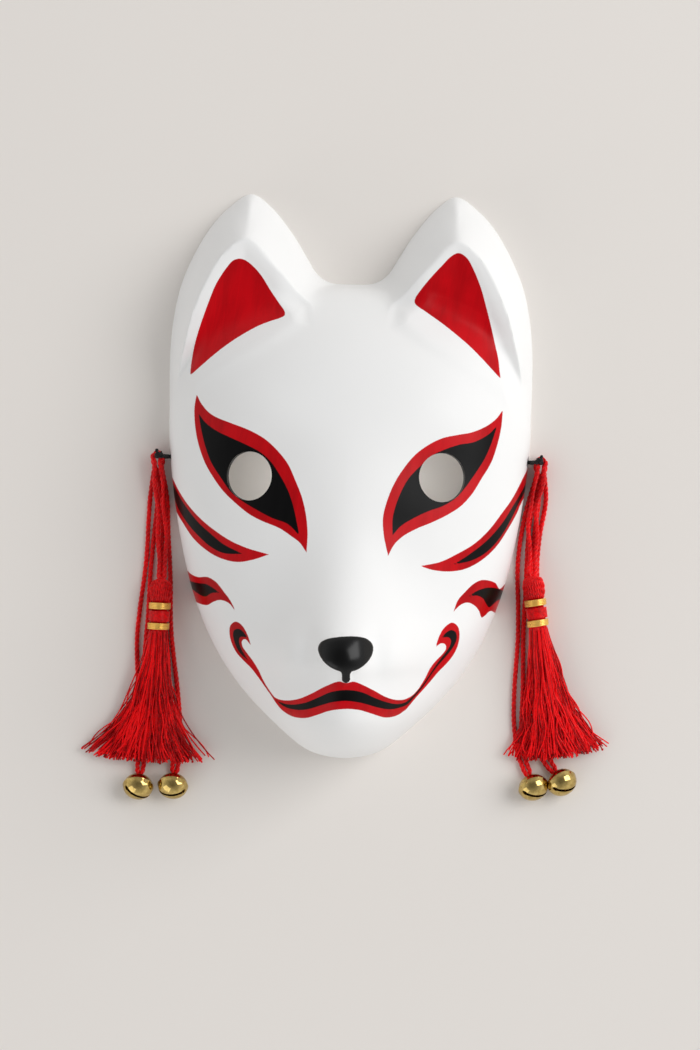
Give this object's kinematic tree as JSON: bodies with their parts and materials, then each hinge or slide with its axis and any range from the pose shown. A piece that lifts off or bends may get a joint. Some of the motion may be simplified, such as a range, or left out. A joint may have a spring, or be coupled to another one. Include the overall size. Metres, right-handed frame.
{
  "type": "fox mask",
  "caption": "Hollow full-face fox mask with upright ears, a long muzzle and round eye holes, lying face up, with a tassel, cords and bells tied at each side.",
  "frame": {"origin": "middle of the mask's rim plane, half way between chin and ear tips, on the floor that the rim rests on", "axes": "+Z out of the face, +Y towards the ears, +X to the right as the face is looked at"},
  "size_m": [0.2346, 0.2791, 0.0891],
  "materials": {
    "mask": "satin white paint with red and black painted marks",
    "tie_cord": "matt black cord",
    "red_silk": "silky twisted thread",
    "gold_thread": "metallic thread",
    "bell_brass": "polished"
  },
  "bodies": {
    "root": {"mask_shell": "mask", "left_black_tie": "tie_cord", "right_black_tie": "tie_cord", "left_outer_bell_cord": "red_silk", "left_inner_bell_cord": "red_silk", "left_tassel_loop": "red_silk", "right_outer_bell_cord": "red_silk", "right_inner_bell_cord": "red_silk", "right_tassel_loop": "red_silk", "left_tassel": "red_silk", "right_tassel": "red_silk", "left_upper_gold_band": "gold_thread", "left_red_binding": "red_silk", "left_lower_gold_band": "gold_thread", "right_upper_gold_band": "gold_thread", "right_red_binding": "red_silk", "right_lower_gold_band": "gold_thread", "left_outer_bell": "bell_brass", "left_inner_bell": "bell_brass", "right_outer_bell": "bell_brass", "right_inner_bell": "bell_brass"}
  },
  "joints": []
}
